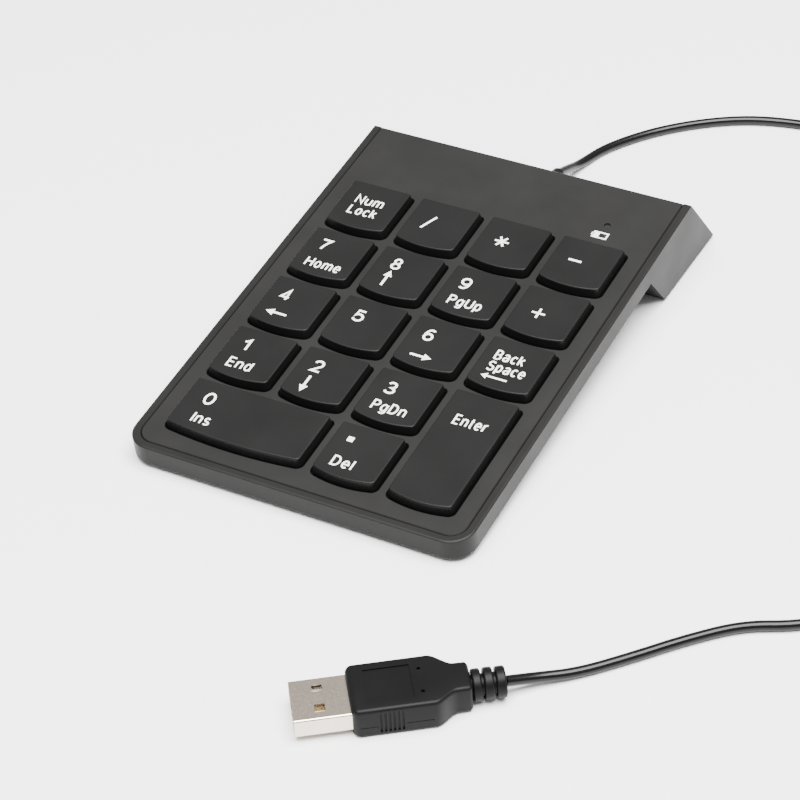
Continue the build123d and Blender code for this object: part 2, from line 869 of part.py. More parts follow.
# The lead leaves through a level bore in the middle of the leaning rear wall.
case -= level_cylinder(sleeve_root / 2 + sleeve_fit, flange_y, wall_outer_y + 8)
save(case, "bottom_case")

case_screws = [
    screw(
        side * case_screw_x,
        case_screw_y,
        head_seat - case_screw_head_height,
        case_screw_head / 2,
        case_screw_head_height,
        case_screw / 2,
        panel_under + thread_end_gap,
    )
    for side in (-1, 1)
]
save_deck(Compound(children=case_screws), "case_screws")

# ---------------------------------------------------------------- rubber pads
pads = []
above_table = block((-pad_cut, pad_cut), (-pad_cut, pad_cut), (0, pad_cut))
for side in (-1, 1):
    front_pad = to_row * upright(
        pad_diameter / 2, underside - pad_stock, underside + pad_recess, side * pad_x, front_pad_y
    )
    pads.append(front_pad & above_table)
    pads.append(upright(pad_diameter / 2, 0, foot_rise + pad_recess, side * pad_x, rear_pad_y))
save(Compound(children=pads), "rubber_feet")

# ---------------------------------------------------------------- lead, strain relief and wires
relief_end_y = wall_outer_y + sleeve_length
taper_start_y = wall_outer_y + sleeve_straight
cone = Cone(sleeve_root / 2, sleeve_tip / 2, relief_end_y - taper_start_y)
grommet = level_cylinder(sleeve_root / 2, flange_y, taper_start_y)
grommet += level(cone, taper_start_y, relief_end_y)
grommet += level_cylinder(flange_diameter / 2, flange_y, flange_y + flange_plate)
save(grommet, "cord_strain_relief")

solder_deck_y = board_rear - solder_inset
solder_y = row_y(solder_deck_y, board_low) + deck_y
solder_z = deck_z + solder_deck_y * tilt_sin + board_low * tilt_cos
wires = []
for i in range(4):
    x = (i - 1.5) * (wire_core + wire_core_gap)
    path = FilletPolyline(
        (x, flange_y, exit_height),
        (x, flange_y - wire_stub, exit_height),
        (x * solder_spread, solder_y, solder_z),
        radius=wire_bend,
    )
    start = Plane(origin=path @ 0, z_dir=path % 0)
    wires.append(sweep(start * Circle(wire_core / 2), path=path))
save(Compound(children=wires), "lead_wires")


def cord_tube(points, name):
    """Round cord along straight runs joined by arcs as large as the runs allow."""
    corners = [Vector(*p) for p in points]
    radii = []
    for before, here, after in zip(corners, corners[1:], corners[2:]):
        turn = (here - before).get_angle(after - here)
        shorter = min((here - before).length, (after - here).length)
        radii.append(0.45 * shorter / tan(radians(turn / 2)))
    path = FilletPolyline(*points, radius=radii)
    start = Plane(origin=path @ 0, z_dir=path % 0)
    tube = sweep(start * Circle(cord_diameter / 2), path=path)
    expected = pi * cord_diameter**2 / 4 * path.length
    print(name, "radii", [round(r, 1) for r in radii])
    print(name, "length", round(path.length, 1), "volume", round(tube.volume, 1), "of", round(expected, 1))
    save(tube, name)


cord_z = cord_diameter / 2
coil_outer_radius = coil_mean_radius + (coil_columns - 1) / 2 * cord_diameter
coil_top_z = cord_z + (coil_layers - 1) * cord_diameter
join = radians(coil_join_angle)
cord_tube(
    [
        (0, relief_end_y, exit_height),
        (0.0, relief_end_y + 5.0, 3.9),
        (0.4, relief_end_y + 11.6, cord_z),
        (3.4, relief_end_y + 22.2, cord_z),
        (13.6, 106.2, cord_z),
        (28.4, 117.6, cord_z),
        (43.0, 122.3, cord_z),
        (60.0, 123.4, cord_z),
        (76.0, 118.6, cord_z),
        (90.0, 108.2, cord_z),
        (101.2, 94.2, cord_z),
        (108.8, 78.4, cord_z),
        (113.6, 63.4, cord_z),
        (coil_x + coil_outer_radius * cos(join), coil_y + coil_outer_radius * sin(join), cord_z),
    ],
    "cord_near",
)

plug_length = shell_length + overmould_body + overmould_shoulder + overmould_neck + relief_length
plug_end = (
    plug_x + plug_length * cos(radians(plug_turn)),
    plug_y + plug_length * sin(radians(plug_turn)),
    plug_axis_height,
)
cord_tube(
    [
        plug_end,
        (72.0, -93.1, 2.3),
        (78.9, -87.2, cord_z),
        (87.4, -77.8, cord_z),
        (95.0, -68.7, cord_z),
        (104.2, -59.5, cord_z),
        (114.6, -54.9, cord_z),
        (124.2, -46.2, cord_z),
        (130.4, -34.0, cord_z),
        (131.8, -19.2, cord_z),
        (129.6, -4.6, cord_z),
        (126.4, 9.0, cord_z),
        (123.9, 21.2, cord_z + 1.6),
        (122.7, 32.4, cord_z + 4.2),
        (coil_x + coil_outer_radius + cord_diameter, coil_y, coil_top_z - cord_diameter / 2),
    ],
    "cord_far",
)

coil_width = coil_columns * cord_diameter + 2 * coil_slack
coil_height = coil_layers * cord_diameter + coil_slack
coil_section = Pos(coil_mean_radius, coil_height / 2) * Rectangle(coil_width, coil_height)
coil_section = fillet(coil_section.vertices(), cord_diameter / 2)
coil = revolve(Plane.XZ * coil_section, Axis.Z)
save(Pos(coil_x, coil_y, 0) * coil, "cord_coil")

# ---------------------------------------------------------------- plug
# Drawn along +X from the shell's open end, standing on z = 0, then turned into place.
to_plug = Location((plug_x, plug_y, 0), (0, 0, plug_turn))


def save_plug(shape, name):
    """Writes a piece drawn in the plug's own frame."""
    save(to_plug * shape, name)


def centred_box(x_range, width, height, z=plug_axis_height):
    """Box along the plug's axis, centred across it."""
    return block(x_range, (-width / 2, width / 2), (z - height / 2, z + height / 2))


shell = centred_box((0, shell_length + shell_root), shell_width, shell_height)
shell = fillet(shell.edges().filter_by(Axis.X), shell_round)
hollow = centred_box(
    (-1, shell_length + shell_root + 1), shell_width - 2 * shell_wall, shell_height - 2 * shell_wall
)
shell -= fillet(hollow.edges().filter_by(Axis.X), shell_round - shell_wall)
for side in (-1, 1):
    shell -= Pos(window_setback, side * window_offset, plug_axis_height) * Box(
        window_size, window_size, shell_height + 1
    )
save_plug(shell, "plug_shell")

tongue_low = plug_axis_height - shell_height / 2 + shell_wall + tongue_gap
tongue_top = tongue_low + tongue_thickness
tongue_half = shell_width / 2 - shell_wall - tongue_side_gap
tongue = block(
    (tongue_setback, shell_length + shell_root), (-tongue_half, tongue_half), (tongue_low, tongue_top)
)
save_plug(tongue, "plug_tongue")

contacts = [
    block(
        (tongue_setback + contact_inset, shell_length - contact_inset),
        (y - contact_width / 2, y + contact_width / 2),
        (tongue_top, tongue_top + contact_thickness),
    )
    for y in contact_pitches
]
save_plug(Compound(children=contacts), "plug_contacts")

body_end = shell_length + overmould_body
neck_start = body_end + overmould_shoulder
neck_end = neck_start + overmould_neck
half = overmould_width / 2
neck = neck_width / 2
plan = Polyline(
    (shell_length, -half),
    (body_end, -half),
    (neck_start, -neck),
    (neck_end, -neck),
    (neck_end, neck),
    (neck_start, neck),
    (body_end, half),
    (shell_length, half),
    close=True,
)
overmould = extrude(make_face(plan), overmould_height)
overmould = Pos(0, 0, plug_axis_height - overmould_height / 2) * overmould
overmould = fillet(overmould.edges().filter_by(Axis.Z).group_by(Axis.X)[0], overmould_corner)
overmould = fillet(overmould.faces().sort_by(Axis.Z)[-1].edges(), overmould_round)
overmould = fillet(overmould.faces().sort_by(Axis.Z)[0].edges(), overmould_round)
overmould -= centred_box((shell_length - 1, shell_length + shell_root), shell_width, shell_height)
save_plug(overmould, "plug_overmould")


def along(radius, start, end):
    """Cylinder along the plug's axis."""
    return Pos((start + end) / 2, 0, plug_axis_height) * Rot(0, 90, 0) * Cylinder(radius, end - start)


relief = along(relief_core / 2, neck_end, neck_end + relief_length)
for ring_start, ring_width in relief_rings:
    ring = along(relief_ring / 2, neck_end + ring_start, neck_end + ring_start + ring_width)
    relief += fillet(ring.edges().filter_by(GeomType.CIRCLE), relief_round)
save_plug(relief, "plug_strain_relief")

print("deck origin", round(deck_y, 3), round(deck_z, 3), "relief end", round(relief_end_y, 3))
print("rear pads at", round(rear_pad_y, 3), "wall", round(wall_outer_y, 3), round(wall_inner_y, 3))
print("wire turn", round(degrees(atan(wire_rise / wire_arm)), 3))
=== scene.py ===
from math import atan2, cos, hypot, pi, radians, sin, sqrt

import bmesh
import bpy
from mathutils import Matrix, Vector
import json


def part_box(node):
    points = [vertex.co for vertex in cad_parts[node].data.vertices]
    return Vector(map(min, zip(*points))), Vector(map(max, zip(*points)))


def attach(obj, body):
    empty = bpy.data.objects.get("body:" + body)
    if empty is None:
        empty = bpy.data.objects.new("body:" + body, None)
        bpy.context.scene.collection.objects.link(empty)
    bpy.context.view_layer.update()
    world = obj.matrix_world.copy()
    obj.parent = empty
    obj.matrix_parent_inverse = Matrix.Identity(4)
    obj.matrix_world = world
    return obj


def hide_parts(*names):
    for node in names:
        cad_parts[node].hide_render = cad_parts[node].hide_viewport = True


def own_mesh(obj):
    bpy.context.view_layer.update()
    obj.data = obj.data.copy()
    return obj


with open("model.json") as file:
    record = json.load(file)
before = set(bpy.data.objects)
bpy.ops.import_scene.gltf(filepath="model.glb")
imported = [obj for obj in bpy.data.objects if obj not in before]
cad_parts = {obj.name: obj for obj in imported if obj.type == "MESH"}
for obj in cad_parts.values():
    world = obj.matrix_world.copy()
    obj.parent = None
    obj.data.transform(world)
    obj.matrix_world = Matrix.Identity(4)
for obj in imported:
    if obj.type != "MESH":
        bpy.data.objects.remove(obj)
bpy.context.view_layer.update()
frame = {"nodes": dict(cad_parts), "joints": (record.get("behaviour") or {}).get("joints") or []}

# ------------------------------------------------------------------ Bottom case
# The case is one moulding: a shallow tray whose rim stands round the panel, and a hollow foot
# across the whole rear that leans back. It is black ABS from a spark-eroded tool.
mm = 0.001
nodes = frame["nodes"]


def noise(tree, source, size, detail=2.0, rough=0.5):
    """Noise whose features are about `size` metres across."""
    node = tree.nodes.new("ShaderNodeTexNoise")
    node.inputs["Scale"].default_value = 1 / size
    node.inputs["Detail"].default_value = detail
    node.inputs["Roughness"].default_value = rough
    tree.links.new(source.outputs["Object"], node.inputs["Vector"])
    return node


def between(tree, factor, low, high):
    """Spreads a 0 to 1 factor between two numbers."""
    node = tree.nodes.new("ShaderNodeMapRange")
    node.inputs["From Min"].default_value = 0.3
    node.inputs["From Max"].default_value = 0.7
    node.inputs["To Min"].default_value = low
    node.inputs["To Max"].default_value = high
    tree.links.new(factor, node.inputs["Value"])
    return node.outputs["Result"]


def mixed(tree, factor, low, high):
    """Colour that runs from low to high with a 0 to 1 factor."""
    node = tree.nodes.new("ShaderNodeMix")
    node.data_type = "RGBA"
    node.inputs["A"].default_value = (*low, 1)
    node.inputs["B"].default_value = (*high, 1)
    tree.links.new(factor, node.inputs["Factor"])
    return node.outputs["Result"]


def bumped(tree, height, depth, below=None):
    """Bump of a real depth in metres, on top of another bump if one is given."""
    node = tree.nodes.new("ShaderNodeBump")
    node.inputs["Distance"].default_value = depth
    tree.links.new(height, node.inputs["Height"])
    if below is not None:
        tree.links.new(below, node.inputs["Normal"])
    return node.outputs["Normal"]


def new_finish(name):
    """Empty material with its shader and object coordinates."""
    material = bpy.data.materials.new(name)
    material.use_nodes = True
    tree = material.node_tree
    shader = tree.nodes["Principled BSDF"]
    return material, tree, shader, tree.nodes.new("ShaderNodeTexCoord")


def moulded(name, colour, rough, grain=0.22 * mm, grain_depth=0.012 * mm, specular=0.5, spread=0.14):
    """Moulded plastic or rubber: a spark-eroded grain, with colour and gloss that drift a little."""
    material, tree, shader, place = new_finish(name)
    drift = noise(tree, place, 14 * mm, 3.0)
    speck = noise(tree, place, grain, 3.0, 0.6)
    low = [c * (1 - spread) for c in colour]
    high = [c * (1 + spread) for c in colour]
    tint = tree.nodes.new("ShaderNodeMath")
    tint.operation = "MULTIPLY_ADD"
    tint.inputs[1].default_value = 0.5
    tree.links.new(speck.outputs["Fac"], tint.inputs[0])
    half_drift = tree.nodes.new("ShaderNodeMath")
    half_drift.operation = "MULTIPLY"
    half_drift.inputs[1].default_value = 0.5
    tree.links.new(drift.outputs["Fac"], half_drift.inputs[0])
    tree.links.new(half_drift.outputs[0], tint.inputs[2])
    factor = between(tree, tint.outputs[0], 0.0, 1.0)
    tree.links.new(mixed(tree, factor, low, high), shader.inputs["Base Color"])
    gloss = between(tree, drift.outputs["Fac"], rough - 0.03, rough + 0.04)
    tree.links.new(gloss, shader.inputs["Roughness"])
    tree.links.new(bumped(tree, speck.outputs["Fac"], grain_depth), shader.inputs["Normal"])
    shader.inputs["Specular IOR Level"].default_value = specular
    return material


def finish_node(node, material):
    """Gives a CAD node its finish."""
    slots = nodes[node].data.materials
    slots.clear()
    slots.append(material)


case_plastic = moulded("case_plastic", (0.0100, 0.0098, 0.0094), 0.42, specular=0.09)
finish_node("bottom_case", case_plastic)

# ------------------------------------------------------------------ Rubber pads
# Four round pads of soft black rubber sit in shallow seats under the case. They touch the table
# and keep the case from sliding.
pad_rubber = moulded("pad_rubber", (0.012, 0.012, 0.0125), 0.8, 0.35 * mm, 0.02 * mm, 0.3)
finish_node("rubber_feet", pad_rubber)

# ------------------------------------------------------------------ Steel plate and films
# A thin zinc-plated plate backs three polyester films. Silver ink on the outer two meets through
# the holes of the middle one when a dome is pressed.


def metal(name, colour, rough, brushed=(1, 1, 1), grain=0.3 * mm, depth=0.003 * mm):
    """Metal with fine marks, stretched by the brushed factors, and patches that are duller."""
    material, tree, shader, place = new_finish(name)
    stretch = tree.nodes.new("ShaderNodeMapping")
    stretch.inputs["Scale"].default_value = brushed
    tree.links.new(place.outputs["Object"], stretch.inputs["Vector"])
    marks = tree.nodes.new("ShaderNodeTexNoise")
    marks.inputs["Scale"].default_value = 1 / grain
    marks.inputs["Detail"].default_value = 4.0
    tree.links.new(stretch.outputs["Vector"], marks.inputs["Vector"])
    patches = noise(tree, place, 5 * mm, 3.0)
    dull = [c * 0.82 for c in colour]
    tree.links.new(mixed(tree, patches.outputs["Fac"], dull, colour), shader.inputs["Base Color"])
    gloss = between(tree, marks.outputs["Fac"], rough * 0.75, rough * 1.3)
    tree.links.new(gloss, shader.inputs["Roughness"])
    tree.links.new(bumped(tree, marks.outputs["Fac"], depth), shader.inputs["Normal"])
    shader.inputs["Metallic"].default_value = 1.0
    return material


plate_steel = metal("plate_steel", (0.60, 0.61, 0.63), 0.38, (1, 0.06, 1))
finish_node("support_plate", plate_steel)
membrane_film = moulded("membrane_film", (0.62, 0.66, 0.68), 0.25, 3 * mm, 0.01 * mm)
for node in ("membrane_bottom", "membrane_spacer", "membrane_top"):
    finish_node(node, membrane_film)

# ------------------------------------------------------------------ Guide frame
# A moulded frame clamps the films down. Its eighteen sleeves guide the keys' plungers, and four
# small eyes hold the stabiliser wires.
guide_plastic = moulded("guide_plastic", (0.030, 0.030, 0.032), 0.5)
for node in ("guide_frame", "membrane_clamp"):
    finish_node(node, guide_plastic)

# ------------------------------------------------------------------ Rubber domes
# Each key stands on a hollow dome of translucent silicone, which buckles under the finger and
# springs the key back.
dome_rubber = moulded("dome_rubber", (0.70, 0.71, 0.69), 0.45, 0.5 * mm, 0.006 * mm)
press_joints = {joint["child"]: joint for joint in frame["joints"] if joint["child"].startswith("key_")}
key_names = sorted(press_joints)
slide = Vector(press_joints["key_5"]["axis"])
to_slope = Matrix.Rotation(atan2(-slide.y, slide.z), 4, "X")
flange = 0.8 * mm
cap_front_gap = 0.6 * mm
dome_foot = 3.2 * mm
dome_hollow = dome_foot - 0.9 * mm
dome_crown = 1.8 * mm
dome_wall = 0.3 * mm
dome_sides = 40


def flat_box(node, laid=to_slope):
    """Lowest and highest corner of a CAD node, along the axes that it was drawn in."""
    back = laid.inverted()
    points = [back @ vertex.co for vertex in nodes[node].data.vertices]
    low = Vector(min(p[axis] for p in points) for axis in range(3))
    high = Vector(max(p[axis] for p in points) for axis in range(3))
    return low, high


# Every key slides square to the deck, so a key's joint gives the slope. What stands on the deck is
# drawn flat, about the middle of the key grid on the panel's face, and then laid on the slope.
key_low = flat_box("key_5")[0]
row_gap = flat_box("key_8")[0].y - key_low.y
panel_face = flat_box("top_panel")[1].z
grid_middle = Vector((0, key_low.y + flange - cap_front_gap + row_gap / 2, panel_face))
deck = to_slope @ Matrix.Translation(grid_middle)


def cell_middle(name):
    """Middle of a key's cell on the deck."""
    low, high = flat_box(name, deck)
    cells_deep = round((high.y - low.y) / row_gap + 0.1)
    front = low.y + flange - cap_front_gap
    return Vector(((low.x + high.x) / 2, front + cells_deep * row_gap / 2, 0))


def turned(profile, sides):
    """Vertices and faces of a profile of (radius, height) turned about Z. It closes on itself."""
    verts = []
    for radius, height in profile:
        for i in range(sides):
            angle = 2 * pi * i / sides
            verts.append((radius * cos(angle), radius * sin(angle), height))
    faces = []
    rings = len(profile)
    for ring in range(rings):
        after = (ring + 1) % rings
        for i in range(sides):
            j = (i + 1) % sides
            faces.append((ring * sides + i, ring * sides + j, after * sides + j, after * sides + i))
    return verts, faces


def make_piece(name, verts, faces, place, body, material, slot, sharp=35):
    """Mesh piece that is smooth up to a sharp angle, put in place and riding on its body."""
    mesh = bpy.data.meshes.new(name)
    mesh.from_pydata([tuple(v) for v in verts], [], faces)
    mesh.transform(place)
    work = bmesh.new()
    work.from_mesh(mesh)
    bmesh.ops.remove_doubles(work, verts=work.verts, dist=0.0005 * mm)
    bmesh.ops.recalc_face_normals(work, faces=work.faces)
    work.to_mesh(mesh)
    work.free()
    mesh.shade_smooth()
    mesh.set_sharp_from_angle(angle=radians(sharp))
    mesh.materials.append(material)
    piece = bpy.data.objects.new(name, mesh)
    bpy.context.scene.collection.objects.link(piece)
    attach(piece, body)
    return piece


low_z, high_z = (corner.z for corner in flat_box("rubber_domes", deck))
dome_profile = [
    (dome_foot, low_z),
    (dome_foot, low_z + dome_wall),
    (dome_foot - 0.5 * mm, low_z + 1.3 * dome_wall),
    (dome_crown + 0.25 * mm, high_z - 0.6 * mm),
    (dome_crown, high_z - 0.35 * mm),
    (dome_crown, high_z - 0.05 * mm),
    (dome_crown - 0.1 * mm, high_z),
    (0, high_z),
    (0, high_z - 2 * dome_wall),
    (dome_crown - dome_wall, high_z - 2 * dome_wall),
    (dome_hollow, low_z + 0.1 * mm),
    (dome_hollow, low_z),
]
dome_verts, dome_faces = turned(dome_profile, dome_sides)
for name in key_names:
    middle = cell_middle(name)
    dome_name = name.replace("key", "dome")
    place = deck @ Matrix.Translation(middle)
    dome = make_piece(dome_name, dome_verts, dome_faces, place, "case", dome_rubber, "dome_rubber")
    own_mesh(dome)
    if name == "key_0":
        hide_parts("rubber_domes")

# ------------------------------------------------------------------ Stabiliser wires
# Each of the two long keys has a bent spring-steel wire that turns in the guide frame's eyes. It
# links the key's two ends, so that the key goes down level wherever it is pressed.
spring_wire = metal("spring_wire", (0.62, 0.62, 0.60), 0.28, (1, 1, 1), 0.15 * mm)
for node in ("stabiliser_wire_0", "stabiliser_wire_enter"):
    finish_node(node, spring_wire)

# ------------------------------------------------------------------ Board and its parts
# A narrow board in the foot carries the controller. A clamp bar presses the film's tail on it,
# and the lead's four cores are soldered to its rear edge.
finish_node("circuit_board", moulded("board_laminate", (0.035, 0.17, 0.06), 0.3, 1.2 * mm, 0.01 * mm))
chip_epoxy = moulded("chip_epoxy", (0.022, 0.022, 0.024), 0.55)
for node in ("controller_chip", "board_components"):
    finish_node(node, chip_epoxy)
finish_node("lead_wires", moulded("wire_insulation", (0.45, 0.05, 0.04), 0.35, 0.4 * mm, 0.004 * mm))

# ------------------------------------------------------------------ Keycaps
# Eighteen low caps of black ABS with a fine grain. Each flares out to a smoother skirt whose
# darker colour is painted shade on the cap's sides; its front edge bows towards the user and its
# top is very slightly dished. A flange inside the opening holds it down, and a tube under its
# middle slides in the guide.
key_plastic = moulded("key_plastic", (0.0062, 0.0062, 0.0061), 0.42, 0.2 * mm, 0.010 * mm, 0.12)
# Skirt finish: its smoother gloss is real, its darker colour than the top is painted shade.
key_skirt = moulded("key_skirt", (0.0035, 0.0035, 0.0036), 0.3, 0.5 * mm, 0.003 * mm, 0.2)
cap_height = 2.0 * mm
cap_flare = 0.45 * mm
cap_bow = 1.3 * mm
cap_rear_corner = 0.9 * mm
cap_front_corner = 1.5 * mm
cap_edge = 0.32 * mm
cap_dish = 0.10 * mm
cap_wall = 0.9 * mm
cap_ceiling = 0.8 * mm
ceiling_chamfer = 0.3 * mm
skirt_low = -1.9 * mm
flange_high = -1.45 * mm
plunger_radius = 4.0 * mm
plunger_bore_radius = 3.5 * mm
plunger_low = -2.2 * mm
presser_radius = 1.8 * mm
corner_steps = 8
side_steps = 6
bow_steps = 24


def arc_points(centre, radius, start, end, steps):
    """Points along an arc, both ends included, angles in radians."""
    angles = [start + (end - start) * i / steps for i in range(steps + 1)]
    return [(centre[0] + radius * cos(a), centre[1] + radius * sin(a)) for a in angles]


def straight_points(start, end, steps):
    """Points between two corners, neither end included."""
    return [
        (start[0] + (end[0] - start[0]) * i / steps, start[1] + (end[1] - start[1]) * i / steps)
        for i in range(1, steps)
    ]


def cap_outline(half, front, rear, grow):
    """Plan of a cap, grown on every side, anticlockwise from the rear right corner."""
    half, front, rear = half + grow, front - grow, rear + grow
    rear_corner = max(cap_rear_corner + grow, 0.2 * mm)
    front_corner = max(cap_front_corner + grow, 0.3 * mm)
    bow_radius = (half**2 + cap_bow**2) / (2 * cap_bow)
    bow_y = front + bow_radius
    corner_x = half - front_corner
    corner_y = bow_y - sqrt((bow_radius - front_corner) ** 2 - corner_x**2)
    tilt = atan2(corner_y - bow_y, corner_x)
    right_rear = arc_points((half - rear_corner, rear - rear_corner), rear_corner, 0, pi / 2, corner_steps)
    left_rear = arc_points((rear_corner - half, rear - rear_corner), rear_corner, pi / 2, pi, corner_steps)
    left_front = arc_points((-corner_x, corner_y), front_corner, pi, 2 * pi - (pi + tilt), corner_steps)
    front_bow = arc_points((0, bow_y), bow_radius, -pi - tilt, tilt, bow_steps)[1:-1]
    right_front = arc_points((corner_x, corner_y), front_corner, tilt, 0, corner_steps)
    points = right_rear + straight_points(right_rear[-1], left_rear[0], side_steps)
    points += left_rear + straight_points(left_rear[-1], left_front[0], side_steps)
    points += left_front + front_bow
    points += right_front + straight_points(right_front[-1], right_rear[0], side_steps)
    return points


def cap_top(x, y, half, front, rear):
    """Height of the dished top at a point of the cap."""
    across = min(abs(x / half), 1.0)
    along = min(abs((2 * y - front - rear) / (rear - front)), 1.0)
    return cap_height - cap_dish * (1 - across**2) * (1 - along**2)


def cap_shell(half, front, rear):
    """Rings of the cap from the middle of its ceiling, out under the flange and up to its top."""
    rings = []

    def ring(grow, height):
        rings.append([(x, y, height) for x, y in cap_outline(half, front, rear, grow)])

    middle_y = (front + rear) / 2
    for share in (0.0, 0.5):
        rings.append(
            [
                (x * share, middle_y + (y - middle_y) * share, cap_ceiling)
                for x, y in cap_outline(half, front, rear, -cap_wall - ceiling_chamfer)
            ]
        )
    ring(-cap_wall - ceiling_chamfer, cap_ceiling)
    ring(-cap_wall, cap_ceiling - ceiling_chamfer)
    ring(-cap_wall, skirt_low)
    ring(flange, skirt_low)
    ring(flange, flange_high)
    ring(0, flange_high)
    ring(0, 0)
    slope = atan2(cap_flare, cap_height)
    top_inset = cap_flare + cap_edge * (1 - sin(slope)) / cos(slope)
    turn = pi / 2 - slope
    for i in range(7):
        angle = slope + turn * i / 6
        inset = top_inset - cap_edge * cos(angle)
        height = cap_height - cap_edge + cap_edge * sin(angle)
        ring(-inset, height)
    edge_ring = cap_outline(half, front, rear, -top_inset)
    for share in (0.97, 0.9, 0.78, 0.62, 0.42, 0.2, 0.0):
        points = [(x * share, middle_y + (y - middle_y) * share) for x, y in edge_ring]
        limit = half - top_inset
        rings.append(
            [(x, y, cap_top(x, y, limit, front + top_inset, rear - top_inset)) for x, y in points]
        )
    return rings


def lofted(rings):
    """Vertices and faces of a skin through closed rings of equal count."""
    count = len(rings[0])
    verts = [point for ring in rings for point in ring]
    faces = []
    for level in range(len(rings) - 1):
        for i in range(count):
            j = (i + 1) % count
            faces.append(
                (level * count + i, level * count + j, (level + 1) * count + j, (level + 1) * count + i)
            )
    return verts, faces


def join_parts(*parts):
    """Several (vertices, faces) as one."""
    verts, faces = [], []
    for part_verts, part_faces in parts:
        start = len(verts)
        verts += list(part_verts)
        faces += [tuple(start + i for i in face) for face in part_faces]
    return verts, faces


plunger = turned(
    [
        (plunger_radius, plunger_low),
        (plunger_radius, cap_ceiling),
        (plunger_bore_radius, cap_ceiling),
        (plunger_bore_radius, plunger_low),
    ],
    48,
)
press_stem = turned(
    [(0, skirt_low), (presser_radius, skirt_low), (presser_radius, cap_ceiling), (0, cap_ceiling)],
    32,
)
caps = {}
for name in key_names:
    low, high = flat_box(name, deck)
    middle = cell_middle(name)
    half = (high.x - low.x) / 2 - flange
    front = low.y + flange - middle.y
    rear = high.y - flange - middle.y
    caps[name] = (half, front, rear)
    verts, faces = join_parts(lofted(cap_shell(half, front, rear)), plunger, press_stem)
    cap_name = name.replace("key", "keycap")
    place = deck @ Matrix.Translation(middle)
    cap = make_piece(cap_name, verts, faces, place, name, key_plastic, "key_plastic", sharp=50)
    cap.data.materials.append(key_skirt)
    # Faces below the rounded top edge (the skirt, the flange and the underside) take the darker skirt
    # finish, which is painted shade.
    for polygon in cap.data.polygons:
        if (place.inverted() @ polygon.center).z < cap_height - cap_edge:
            polygon.material_index = 1
    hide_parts(name)

# ------------------------------------------------------------------ Legends
# Off-white ink is printed on the caps in plain upright lettering of even stroke: a figure near
# the left rear corner and, on most keys, a word or an arrow in front of it.
legend_ink = moulded("legend_ink", (0.80, 0.80, 0.78), 0.5, 0.12 * mm, 0.004 * mm, 0.4, 0.05)
ink = 0.012 * mm


def bow(x, y, across, along, start, end, steps=12):
    """Points along part of an oval about (x, y), angles in degrees."""
    angles = [radians(start + (end - start) * i / steps) for i in range(steps + 1)]
    return [(x + across * cos(a), y + along * sin(a)) for a in angles]


